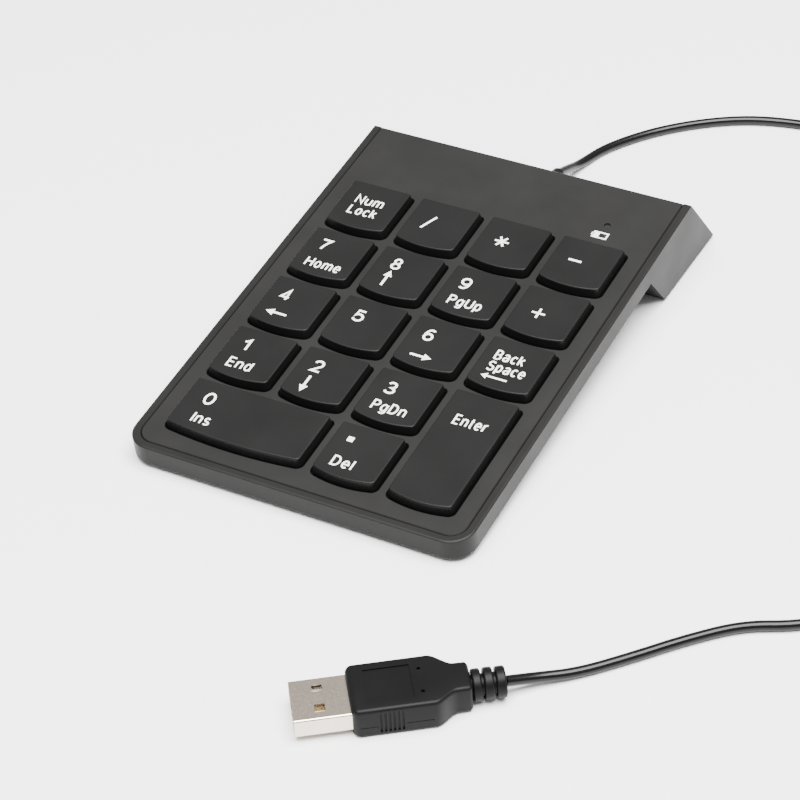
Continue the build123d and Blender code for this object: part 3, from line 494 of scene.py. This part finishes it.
# Centre lines of the strokes of each character, in shares of its height.
six = [bow(0.3, 0.3, 0.29, 0.3, 0, 360, 24), bow(0.37, 0.38, 0.36, 0.62, 175, 58)]
ring_of_o = bow(0.21, 0.37, 0.21, 0.37, 0, 360, 24)
strokes = {
    "0": [bow(0.29, 0.5, 0.29, 0.5, 0, 360, 32)],
    "1": [[(0, 0.76), (0.13, 0.82), (0.27, 1), (0.27, 0)]],
    "2": [bow(0.29, 0.71, 0.28, 0.29, 165, -38) + [(0.01, 0), (0.58, 0)]],
    "3": [bow(0.27, 0.75, 0.24, 0.25, 160, -90) + bow(0.27, 0.25, 0.29, 0.25, 90, -160)],
    "4": [[(0.45, 0), (0.45, 1), (0, 0.27), (0.62, 0.27)]],
    "5": [[(0.54, 1), (0.12, 1), (0.04, 0.5)] + bow(0.27, 0.33, 0.3, 0.33, 132, -155)],
    "6": six,
    "7": [[(0, 1), (0.58, 1), (0.38, 0.66), (0.25, 0.33), (0.19, 0)]],
    "8": [bow(0.29, 0.76, 0.23, 0.24, -90, 270, 24), bow(0.29, 0.26, 0.29, 0.26, 90, 450, 24)],
    "9": [[(0.6 - x, 1 - y) for x, y in stroke] for stroke in six],
    "N": [[(0, 0), (0, 1), (0.55, 0), (0.55, 1)]],
    "u": [[(0, 0.74)] + bow(0.21, 0.22, 0.21, 0.22, 180, 360), [(0.42, 0.74), (0.42, 0)]],
    "m": [
        [(0, 0.74), (0, 0)],
        bow(0.18, 0.5, 0.18, 0.24, 180, 0) + [(0.36, 0)],
        bow(0.54, 0.5, 0.18, 0.24, 180, 0) + [(0.72, 0)],
    ],
    "L": [[(0, 1), (0, 0), (0.42, 0)]],
    "o": [ring_of_o],
    "c": [bow(0.21, 0.37, 0.21, 0.37, 45, 315)],
    "k": [[(0, 1), (0, 0)], [(0.36, 0.74), (0, 0.3)], [(0.13, 0.44), (0.4, 0)]],
    "H": [[(0, 1), (0, 0)], [(0.55, 1), (0.55, 0)], [(0, 0.52), (0.55, 0.52)]],
    "e": [[(0.02, 0.38), (0.42, 0.38)] + bow(0.21, 0.37, 0.21, 0.37, 8, 312, 18)],
    "P": [[(0, 0), (0, 1), (0.26, 1)] + bow(0.26, 0.74, 0.22, 0.26, 90, -90) + [(0, 0.48)]],
    "g": [ring_of_o, [(0.42, 0.74), (0.42, -0.06)] + bow(0.21, -0.07, 0.21, 0.2, 0, -150)],
    "U": [[(0, 1)] + bow(0.26, 0.28, 0.26, 0.28, 180, 360) + [(0.52, 1)]],
    "p": [[(0, 0.74), (0, -0.27)], ring_of_o],
    "D": [[(0, 0), (0, 1), (0.22, 1)] + bow(0.22, 0.5, 0.3, 0.5, 90, -90) + [(0, 0)]],
    "n": [[(0, 0.74), (0, 0)], bow(0.21, 0.5, 0.21, 0.24, 180, 0) + [(0.42, 0)]],
    "I": [[(0, 0), (0, 1)]],
    "s": [bow(0.19, 0.55, 0.17, 0.19, 35, 270) + bow(0.19, 0.18, 0.19, 0.18, 90, -145)],
    "E": [[(0.45, 1), (0, 1), (0, 0), (0.45, 0)], [(0, 0.52), (0.42, 0.52)]],
    "d": [[(0.42, 1), (0.42, 0)], ring_of_o],
    "B": [
        [(0, 0), (0, 1), (0.24, 1)] + bow(0.24, 0.76, 0.2, 0.24, 90, -90) + [(0, 0.52)],
        [(0, 0.52)] + bow(0.24, 0.26, 0.24, 0.26, 90, -90) + [(0, 0)],
    ],
    "a": [
        bow(0.2, 0.53, 0.19, 0.21, 155, 0) + [(0.39, 0)],
        [(0.39, 0.42), (0.16, 0.38)] + bow(0.16, 0.19, 0.16, 0.19, 90, 270) + [(0.28, 0.03), (0.39, 0.2)],
    ],
    "S": [bow(0.25, 0.76, 0.22, 0.24, 25, 270) + bow(0.25, 0.26, 0.25, 0.26, 90, -155)],
    "t": [[(0.1, 0.97)] + bow(0.2, 0.12, 0.1, 0.12, 180, 280), [(0, 0.72), (0.24, 0.72)]],
    "r": [[(0, 0.74), (0, 0)], bow(0.22, 0.46, 0.22, 0.28, 180, 80)],
    "l": [[(0, 0), (0, 1)]],
}
letter_gap = 0.29
same_point = 0.001 * mm
shortest_step = 0.01 * mm
sharpest_mitre = 0.42


def ribbon(line, width):
    """Flat ribbon of ink along a line: vertices (x, y, side up or down) and faces."""
    closed = hypot(line[0][0] - line[-1][0], line[0][1] - line[-1][1]) < same_point
    points = [Vector(p) for p in (line[:-1] if closed else line)]
    points = [p for i, p in enumerate(points) if i == 0 or (p - points[i - 1]).length > shortest_step]
    count = len(points)
    verts = []
    for i, point in enumerate(points):
        before = points[i - 1] if closed or i > 0 else None
        after = points[(i + 1) % count] if closed or i < count - 1 else None
        arriving = (point - before).normalized() if before is not None else (after - point).normalized()
        leaving = (after - point).normalized() if after is not None else arriving
        along = (arriving + leaving).normalized()
        square = Vector((-along.y, along.x))
        reach = width / 2 / max(along.dot(arriving), sharpest_mitre)
        for side, up in ((1, 1), (-1, 1), (-1, -1), (1, -1)):
            verts.append((point.x + side * reach * square.x, point.y + side * reach * square.y, up))
    faces = []
    for i in range(count if closed else count - 1):
        here, there = 4 * i, 4 * ((i + 1) % count)
        for edge in range(4):
            after = (edge + 1) % 4
            faces.append((here + edge, there + edge, there + after, here + after))
    if not closed:
        faces.append((3, 2, 1, 0))
        faces.append(tuple(4 * (count - 1) + edge for edge in range(4)))
    return verts, faces


def lettering(text, left, baseline, height, width, weight):
    """Line of characters between its left and right edges, standing on its baseline."""
    lines, at = [], 0.0
    for character in text:
        outlines = strokes[character]
        lines += [[(x + at, y) for x, y in outline] for outline in outlines]
        at += max(x for outline in outlines for x, _ in outline) + letter_gap
    across = (width - weight) / (at - letter_gap) if at > letter_gap else 0.0
    up = height - weight
    return join_parts(
        *(
            ribbon(
                [(left + weight / 2 + x * across, baseline + weight / 2 + y * up) for x, y in line],
                weight,
            )
            for line in lines
        )
    )


def plate_of_ink(corners):
    """Flat shape with straight edges, its corners in order."""
    count = len(corners)
    verts = [(x, y, up) for up in (1, -1) for x, y in corners]
    faces = [tuple(range(count)), tuple(reversed(range(count, 2 * count)))]
    faces += [(i, count + i, count + (i + 1) % count, (i + 1) % count) for i in range(count)]
    return verts, faces


def arrow(tip, heading, length, head=2.1 * mm, head_width=2.2 * mm, shaft=0.6 * mm):
    """Arrow from its tip, heading one of (1, 0), (-1, 0), (0, 1) and (0, -1)."""
    along = Vector(heading)
    side = Vector((-along.y, along.x)) * head_width / 2
    start = Vector(tip)
    neck = start - along * head
    return join_parts(
        plate_of_ink([tuple(start), tuple(neck + side), tuple(neck - side)]),
        ribbon([tuple(neck + along * 0.1 * mm), tuple(start - along * length)], shaft),
    )


def figure(text, left, right, baseline, height=3.9 * mm):
    """The larger character near a cap's rear corner."""
    return lettering(text, left * mm, baseline * mm, height, (right - left) * mm, 0.56 * mm)


def word(text, left, right, baseline, height=3.25 * mm):
    """A word in the smaller size."""
    return lettering(text, left * mm, baseline * mm, height, (right - left) * mm, 0.44 * mm)


def dash(left, right, height, weight=0.62):
    """Level bar."""
    return ribbon([(left * mm, height * mm), (right * mm, height * mm)], weight * mm)


def spokes(x, y, span, turns, weight=0.55):
    """Bars that cross at a point."""
    lines = []
    for turn in turns:
        reach = Vector((cos(radians(turn)), sin(radians(turn)))) * span / 2
        lines.append([((x - reach.x) * mm, (y - reach.y) * mm), ((x + reach.x) * mm, (y + reach.y) * mm)])
    return join_parts(*(ribbon(line, weight * mm) for line in lines))


legends = {
    "key_0": [figure("0", -12.6, -9.8, 0.35), word("Ins", -12.0, -7.3, -5.7)],
    "key_1": [figure("1", -4.0, -2.2, 0.4), word("End", -4.3, 2.1, -5.6)],
    "key_2": [figure("2", -4.2, -1.5, 0.2), arrow((-2.9 * mm, -6.7 * mm), (0, -1), 5.5 * mm)],
    "key_3": [figure("3", -4.2, -1.5, 0.2), word("PgDn", -4.5, 4.2, -5.5)],
    "key_4": [figure("4", -4.1, -1.5, 0.1), arrow((-4.8 * mm, -4.4 * mm), (-1, 0), 5.5 * mm)],
    "key_5": [figure("5", -3.6, -0.8, 0.0)],
    "key_6": [figure("6", -4.2, -1.6, 0.2), arrow((1.3 * mm, -5.0 * mm), (1, 0), 5.5 * mm)],
    "key_7": [figure("7", -4.3, -1.5, 0.4), word("Home", -4.5, 4.9, -5.9)],
    "key_8": [figure("8", -3.7, -1.2, 0.5), arrow((-2.6 * mm, -0.1 * mm), (0, 1), 5.5 * mm)],
    "key_9": [figure("9", -4.4, -1.7, 0.3), word("PgUp", -4.5, 4.2, -5.5)],
    "key_decimal": [dash(-4.3, -2.8, 3.05, 1.5), word("Del", -4.4, 1.0, -5.7)],
    "key_enter": [word("Enter", -4.1, 4.3, 6.6)],
    "key_plus": [spokes(-1.7, -0.7, 3.3, (0, 90))],
    "key_minus": [dash(-3.35, -0.05, 0.2)],
    "key_multiply": [spokes(-1.8, 0, 3.6, (0, 60, 120))],
    "key_divide": [spokes(-2.4, -0.1, 5.2, (66,))],
    "key_num_lock": [word("Num", -4.1, 3.4, 0.0), word("Lock", -4.1, 3.5, -4.0)],
    "key_backspace": [
        word("Back", -4.8, 2.7, 0.5),
        word("Space", -4.9, 4.6, -3.3),
        arrow((-5.0 * mm, -5.1 * mm), (-1, 0), 6.5 * mm, 1.5 * mm, 1.9 * mm, 0.5 * mm),
    ],
}
for name, marks in legends.items():
    half, front, rear = caps[name]
    flat, faces = join_parts(*marks)
    inset = cap_flare + cap_edge
    verts = [
        (x, y, cap_top(x, y, half - inset, front + inset, rear - inset) + up * ink) for x, y, up in flat
    ]
    place = deck @ Matrix.Translation(cell_middle(name))
    legend_name = name.replace("key", "legend")
    make_piece(legend_name, verts, faces, place, name, legend_ink, "key_plastic", 30)

# ------------------------------------------------------------------ Top panel
# The panel is a flat plate of the same ABS with a coarser grain. It hooks under the front rim,
# its rear edge is rounded over, and a shadow groove runs between it and the rim.
panel_plastic = moulded("panel_plastic", (0.0105, 0.0104, 0.0100), 0.46, 0.24 * mm, 0.014 * mm, 0.14)
finish_node("top_panel", panel_plastic)
led_resin = moulded("led_resin", (0.010, 0.011, 0.010), 0.2, 1 * mm, 0.004 * mm)
for node in ("led_lens", "status_led"):
    finish_node(node, led_resin)
lens_low, lens_high = flat_box("led_lens", deck)
mark_x = (lens_low.x + lens_high.x) / 2 - 0.1 * mm
mark_y = (lens_low.y + lens_high.y) / 2 - 3.9 * mm
mark_wide, mark_deep, mark_line = 3.5 * mm, 1.9 * mm, 0.42 * mm
mark_left, mark_right = mark_x - mark_wide / 2, mark_x + mark_wide / 2
mark_front, mark_rear = mark_y - mark_deep / 2, mark_y + mark_deep / 2
mark_corners = [
    (mark_left, mark_front),
    (mark_right, mark_front),
    (mark_right, mark_rear),
    (mark_left, mark_rear),
]
battery = join_parts(
    ribbon(mark_corners + mark_corners[:1], mark_line),
    ribbon([(mark_left, mark_y), (mark_x - 0.3 * mm, mark_y)], mark_deep - mark_line),
    ribbon([(mark_left - 0.5 * mm, mark_y), (mark_left, mark_y)], 0.9 * mm),
)
battery_verts = [(x, y, up * ink) for x, y, up in battery[0]]
make_piece("battery_mark", battery_verts, battery[1], deck, "case", legend_ink, "panel_plastic", 30)

# ------------------------------------------------------------------ Screws
# Two pan-head screws come up through the foot into the panel's posts, and two smaller ones hold
# the clamp bar. All are nickel-plated steel with a cross recess.
screw_steel = metal("screw_steel", (0.50, 0.50, 0.50), 0.3)
for node in ("case_screws", "clamp_screws"):
    finish_node(node, screw_steel)

# ------------------------------------------------------------------ Lead
# A thin round lead in smooth black PVC runs out of the foot, round to the right, and comes back
# to the plug. What isn't in use is wound into a neat coil of twelve turns.
cord_diameter = 2.4 * mm
cord_radius = cord_diameter / 2
cord_jacket = moulded("cord_jacket", (0.0018, 0.0018, 0.0019), 0.2, 0.5 * mm, 0.004 * mm, 0.25)
sleeve_low, sleeve_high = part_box("cord_strain_relief")
exit_height = (sleeve_low.z + sleeve_high.z) / 2
exit_point = Vector((0, sleeve_high.y, exit_height))
coil_low, coil_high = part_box("cord_coil")
coil_middle = (coil_low + coil_high) / 2
coil_columns = 3
coil_layers = 4
column_step = 1.02 * cord_diameter
outer_turn = 15.9 * mm
turn_points = 24
jog_start = radians(85)
jog_span = radians(60)
join_angle = radians(25)


def eased(share):
    """Smooth step from 0 to 1."""
    share = min(max(share, 0.0), 1.0)
    return share * share * (3 - 2 * share)


def coil_turns():
    """Points of the coil, clockwise from where the near part joins it to where the far part leaves."""
    column_order = []
    for layer in range(coil_layers):
        columns = range(coil_columns)
        column_order += [(c, layer) for c in (columns if layer % 2 == 0 else reversed(columns))]
    column_order.append((-1, coil_layers - 1))
    points = []
    step = 2 * pi / turn_points
    angle = join_angle
    last = join_angle - 2 * pi * (len(column_order) - 1) - join_angle
    while angle > last - step / 2:
        passed = join_angle - angle
        turn = int(passed / (2 * pi))
        into = passed - 2 * pi * turn
        window = join_angle + 2 * pi - jog_start
        here = column_order[turn]
        after = column_order[min(turn + 1, len(column_order) - 1)]
        sideways = eased((into - window) / jog_span)
        upwards = eased((into - window + jog_span) / jog_span)
        column = here[0] + (after[0] - here[0]) * sideways
        layer = here[1] + (after[1] - here[1]) * upwards
        radius = outer_turn - column * column_step
        points.append(
            Vector(
                (
                    coil_middle.x + radius * cos(angle),
                    coil_middle.y + radius * sin(angle),
                    cord_radius + layer * cord_diameter,
                )
            )
        )
        angle -= step
    return points


relief_end = exit_point.y / mm
cord_z = cord_radius / mm
near_route = [
    (0, relief_end, exit_height / mm),
    (0.0, relief_end + 5.0, 3.9),
    (0.4, relief_end + 11.6, cord_z),
    (3.4, relief_end + 22.2, cord_z),
    (13.6, 106.2, cord_z),
    (28.4, 117.6, cord_z),
    (43.0, 122.3, cord_z),
    (60.0, 123.4, cord_z),
    (76.0, 118.6, cord_z),
    (90.0, 108.2, cord_z),
    (101.2, 94.2, cord_z),
    (108.8, 78.4, cord_z),
    (113.6, 63.4, cord_z),
]
far_route = [
    (122.7, 32.4, cord_z + 4.2),
    (123.9, 21.2, cord_z + 1.6),
    (126.4, 9.0, cord_z),
    (129.6, -4.6, cord_z),
    (131.8, -19.2, cord_z),
    (130.4, -34.0, cord_z),
    (124.2, -46.2, cord_z),
    (114.6, -54.9, cord_z),
    (104.2, -59.5, cord_z),
    (95.0, -68.7, cord_z),
    (87.4, -77.8, cord_z),
    (78.9, -87.2, cord_z),
    (72.0, -93.1, 2.3),
]
# The plug lies flat and points down to the left. It is drawn along X from its open end.
plug_turn = radians(36)
shell_points = [v.co for v in nodes["plug_shell"].data.vertices]
plug_heading = Vector((cos(plug_turn), sin(plug_turn), 0))
plug_across = Vector((-sin(plug_turn), cos(plug_turn), 0))
open_end = min(p.dot(plug_heading) for p in shell_points)
sides_at = [p.dot(plug_across) for p in shell_points]
plug_origin = plug_heading * open_end + plug_across * (min(sides_at) + max(sides_at)) / 2
plug_origin.z = (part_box("plug_shell")[0].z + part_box("plug_shell")[1].z) / 2
plug_place = Matrix.Translation(plug_origin) @ Matrix.Rotation(plug_turn, 4, "Z")
relief_points = [plug_place.inverted() @ v.co for v in nodes["plug_strain_relief"].data.vertices]
plug_length = max(p.x for p in relief_points)
plug_end = plug_place @ Vector((plug_length, 0, 0))

route = [Vector(p) * mm for p in near_route] + coil_turns() + [Vector(p) * mm for p in far_route]
route.append(plug_end)
line = bpy.data.curves.new("lead", "CURVE")
line.dimensions = "3D"
line.resolution_u = 6
line.bevel_depth = cord_radius
line.bevel_resolution = 5
spline = line.splines.new("NURBS")
spline.points.add(len(route) - 1)
for point, place in zip(spline.points, route):
    point.co = (*place, 1)
spline.order_u = 3
spline.use_endpoint_u = True
lead = bpy.data.objects.new("lead", line)
bpy.context.scene.collection.objects.link(lead)
line.materials.append(cord_jacket)
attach(lead, "case")
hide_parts("cord_near", "cord_coil", "cord_far")

# ------------------------------------------------------------------ Strain relief in the foot
# A short tapered sleeve of soft PVC lets the lead bend gently where it leaves the case. A flange
# inside the foot's rear wall holds it.
finish_node("cord_strain_relief", cord_jacket)

# ------------------------------------------------------------------ Plug
# The shell is folded nickel-plated steel with two latch windows and a small detent. The grip is
# moulded round it in matte black PVC, with a sunk panel, ribs for the fingers, two dimples and a
# line where the mould's halves met. Three rings behind it let the lead bend.
plug_nickel = metal("plug_nickel", (0.74, 0.64, 0.54), 0.22, (1, 1, 1), 0.5 * mm, 0.0006 * mm)
finish_node("plug_shell", plug_nickel)
finish_node("plug_contacts", metal("contact_gold", (0.83, 0.62, 0.28), 0.25))
finish_node("plug_tongue", moulded("tongue_plastic", (0.60, 0.60, 0.57), 0.4))
plug_plastic = moulded("plug_plastic", (0.0030, 0.0030, 0.0031), 0.42, 0.2 * mm, 0.012 * mm, 0.1)


def along_plug(node):
    """Lowest and highest corner of a node, along the plug from its open end."""
    points = [plug_place.inverted() @ vertex.co for vertex in nodes[node].data.vertices]
    return [Vector(pick(p[axis] for p in points) for axis in range(3)) for pick in (min, max)]


grip_low, grip_high = along_plug("plug_overmould")
relief_low, relief_high = along_plug("plug_strain_relief")
shell_high = along_plug("plug_shell")[1]
grip_start, grip_end = grip_low.x, relief_low.x + 0.2 * mm
grip_half, grip_rise = grip_high.y, grip_high.z
neck_half, neck_rise = 4.2 * mm, 3.45 * mm
body_end, neck_start = 28.6 * mm, 33.9 * mm
grip_corner = 1.6 * mm
grip_edge = 0.9 * mm
end_round = 0.7 * mm
neck_round = 0.9 * mm
edge_steps = 6


def grip_section(at, half, rise, edge):
    """Rounded rectangle across the plug."""
    edge = min(edge, half * 0.9, rise * 0.9)
    ring = []
    for side, up, start in ((1, 1, 0), (-1, 1, 90), (-1, -1, 180), (1, -1, 270)):
        for y, z in bow(side * (half - edge), up * (rise - edge), edge, edge, start, start + 90, edge_steps):
            ring.append((at, y, z))
    return ring


grip_rings = []
for i in range(9):
    angle = pi / 2 * i / 8
    grip_rings.append(
        (
            grip_start + grip_corner * (1 - cos(angle)),
            grip_half - grip_corner * (1 - sin(angle)),
            grip_rise - end_round * (1 - sin(angle)),
        )
    )
straight = body_end - grip_start - grip_corner
for i in range(1, 9):
    grip_rings.append((grip_start + grip_corner + straight * i / 8, grip_half, grip_rise))
for i in range(1, 17):
    share = i / 16
    grip_rings.append(
        (
            body_end + (neck_start - body_end) * share,
            grip_half + (neck_half - grip_half) * eased(share),
            grip_rise + (neck_rise - grip_rise) * eased(share),
        )
    )
for i in range(1, 8):
    angle = pi / 2 * i / 7
    grip_rings.append(
        (
            grip_end - neck_round * (1 - sin(angle)),
            neck_half - neck_round * (1 - cos(angle)),
            neck_rise - end_round * (1 - cos(angle)),
        )
    )
sections = [grip_section(at, half, rise, grip_edge) for at, half, rise in grip_rings]
first, last = sections[0], sections[-1]
closing = 0.01
sections.insert(0, [(first[0][0], y * closing, z * closing) for _, y, z in first])
sections.append([(last[0][0], y * closing, z * closing) for _, y, z in last])
grip_verts, grip_faces = lofted(sections)
count = len(first)
grip_faces.append(tuple(range(count)))
grip_faces.append(tuple(reversed(range(len(grip_verts) - count, len(grip_verts)))))


def brick(x0, x1, y0, y1, z0, z1):
    """Block between two corners."""
    verts = [(x, y, z) for z in (z0, z1) for x, y in ((x0, y0), (x1, y0), (x1, y1), (x0, y1))]
    faces = [(0, 3, 2, 1), (4, 5, 6, 7)] + [(i, (i + 1) % 4, 4 + (i + 1) % 4, 4 + i) for i in range(4)]
    return verts, faces


def upright_pin(x, y, radius, z0, z1):
    """Short round pin."""
    verts, faces = turned([(0, z0), (radius, z0), (radius, z1), (0, z1)], 24)
    return [(x + a, y + b, c) for a, b, c in verts], faces


mould_line = (-1.0 * mm, -0.86 * mm)
mould_line_depth = 0.12 * mm
sunk_half, sunk_depth = 4.8 * mm, 0.28 * mm
dimple_at, dimple_radius, dimple_depth = 26.6 * mm, 0.42 * mm, 0.6 * mm
rib_slot, rib_half, rib_depth = 0.45 * mm, 2.6 * mm, 0.35 * mm
overcut = 1 * mm
cuts = [
    brick(15.2 * mm, 24.8 * mm, -sunk_half, sunk_half, grip_rise - sunk_depth, grip_rise + overcut)
]
for y in (3.2 * mm, -3.4 * mm):
    cuts.append(
        upright_pin(dimple_at, y, dimple_radius, grip_rise - dimple_depth, grip_rise + overcut)
    )
for side in (-1, 1):
    near, far = sorted((side * (grip_half - mould_line_depth), side * (grip_half + overcut)))
    for start, end in ((13.2 * mm, 16.9 * mm), (22.6 * mm, 28.3 * mm)):
        cuts.append(brick(start, end, near, far, *mould_line))
    near, far = sorted((side * (grip_half - rib_depth), side * (grip_half + overcut)))
    for i in range(6):
        at = (17.2 + 0.9 * i) * mm
        cuts.append(brick(at, at + rib_slot, near, far, -rib_half, rib_half))


def carved(name, solid, cutters):
    """Vertices and faces of a solid after cutters are taken from it, each a closed block."""
    pieces = []
    for part_name, (verts, faces) in ((name, solid), (name + "_cut", join_parts(*cutters))):
        mesh = bpy.data.meshes.new(part_name)
        mesh.from_pydata([tuple(v) for v in verts], [], faces)
        work = bmesh.new()
        work.from_mesh(mesh)
        bmesh.ops.remove_doubles(work, verts=work.verts, dist=0.0005 * mm)
        bmesh.ops.recalc_face_normals(work, faces=work.faces)
        bmesh.ops.scale(work, vec=(1000, 1000, 1000), verts=work.verts)
        work.to_mesh(mesh)
        work.free()
        piece = bpy.data.objects.new(part_name, mesh)
        bpy.context.scene.collection.objects.link(piece)
        pieces.append(piece)
    cut = pieces[0].modifiers.new("cut", "BOOLEAN")
    cut.operation = "DIFFERENCE"
    cut.solver = "EXACT"
    cut.object = pieces[1]
    graph = bpy.context.evaluated_depsgraph_get()
    result = bpy.data.meshes.new_from_object(pieces[0].evaluated_get(graph))
    verts = [vertex.co * mm for vertex in result.vertices]
    faces = [tuple(polygon.vertices) for polygon in result.polygons]
    for piece in pieces:
        bpy.data.objects.remove(piece)
    return verts, faces


grip_shape = carved("grip", (grip_verts, grip_faces), cuts)
grip = make_piece("plug_grip", *grip_shape, plug_place, "case", plug_plastic, "plug_plastic", sharp=40)
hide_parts("plug_overmould")

core_radius, ring_round = 2.3 * mm, 0.45 * mm
rings_at = ((0.45, 1.9, 3.45), (2.85, 2.0, 3.45), (5.35, 2.1, 3.35))
quarter = bow(0, 0, ring_round, ring_round, 0, 90, 5)
profile = [(0.5 * cord_diameter, 0), (core_radius, 0)]
for start, width, radius in rings_at:
    low, high, radius = start * mm, (start + width) * mm, radius * mm
    profile.append((core_radius, low))
    profile += [(radius - ring_round + a, low + ring_round - b) for b, a in quarter]
    profile += [(radius - ring_round + a, high - ring_round + b) for b, a in reversed(quarter)]
    profile.append((core_radius, high))
relief_depth = relief_high.x - relief_low.x
profile.append((core_radius * 0.8, relief_depth))
profile.append((0.5 * cord_diameter, relief_depth))
relief_verts, relief_faces = turned(profile, 48)
relief_verts = [(relief_low.x + z, x, y) for x, y, z in relief_verts]
relief_shape = (relief_verts, relief_faces)
relief = make_piece("plug_relief", *relief_shape, plug_place, "case", plug_plastic, "plug_plastic", sharp=40)
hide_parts("plug_strain_relief")

detent_at = 9.1 * mm
detent_line = bow(0, 0.45, 0.42, 0.42, 0, 180) + bow(0, -0.45, 0.42, 0.42, 180, 360)
detent_line.append(detent_line[0])
detent = ribbon([(x * mm + detent_at, y * mm) for x, y in detent_line], 0.3 * mm)
detent_shape = ([(x, y, shell_high.z + (up * 0.03) * mm) for x, y, up in detent[0]], detent[1])
make_piece("shell_detent", *detent_shape, plug_place, "case", plug_nickel, "plug_nickel", sharp=40)

# ------------------------------------------------------------------ Floor, light and camera
# A plain sheet of white paper, one large soft light overhead, a little to the right and in
# front, and an even white light from all round.
floor_mesh = bpy.data.meshes.new("floor")
floor_half = 3.0
floor_mesh.from_pydata(
    [(x * floor_half, y * floor_half, 0) for x, y in ((-1, -1), (1, -1), (1, 1), (-1, 1))],
    [],
    [(0, 1, 2, 3)],
)
floor = bpy.data.objects.new("floor", floor_mesh)
bpy.context.scene.collection.objects.link(floor)
paper, tree, shader, place = new_finish("white_paper")
tone = noise(tree, place, 0.4, 2.0)
paper_white = mixed(tree, tone.outputs["Fac"], (0.86, 0.86, 0.86), (0.88, 0.88, 0.88))
tree.links.new(paper_white, shader.inputs["Base Color"])
shader.inputs["Roughness"].default_value = 0.7
floor_mesh.materials.append(paper)


def soft_light(name, place, aim, width, height, power):
    """Area light, aimed at a point."""
    lamp = bpy.data.lights.new(name, "AREA")
    lamp.shape = "RECTANGLE"
    lamp.size = width
    lamp.size_y = height
    lamp.energy = power
    light = bpy.data.objects.new(name, lamp)
    light.location = place
    light.rotation_euler = (Vector(aim) - Vector(place)).to_track_quat("-Z", "Y").to_euler()
    bpy.context.scene.collection.objects.link(light)


soft_light("overhead", (0.22, -0.18, 1.18), (0.03, 0, 0), 1.2, 1.0, 92)
world = bpy.data.worlds.new("studio")
bpy.context.scene.world = world
world.use_nodes = True
world.node_tree.nodes["Background"].inputs["Color"].default_value = (1, 1, 1, 1)
world.node_tree.nodes["Background"].inputs["Strength"].default_value = 0.7

lens = bpy.data.cameras.new("camera")
lens.lens = 126.16
lens.sensor_width = 36
lens.clip_start = 0.01
lens.clip_end = 20
camera = bpy.data.objects.new("camera", lens)
camera.location = (0.25735, -0.46158, 0.40577)
camera.rotation_euler = (radians(51.339), radians(2.608), radians(27.96))
bpy.context.scene.collection.objects.link(camera)
bpy.context.scene.camera = camera

import json
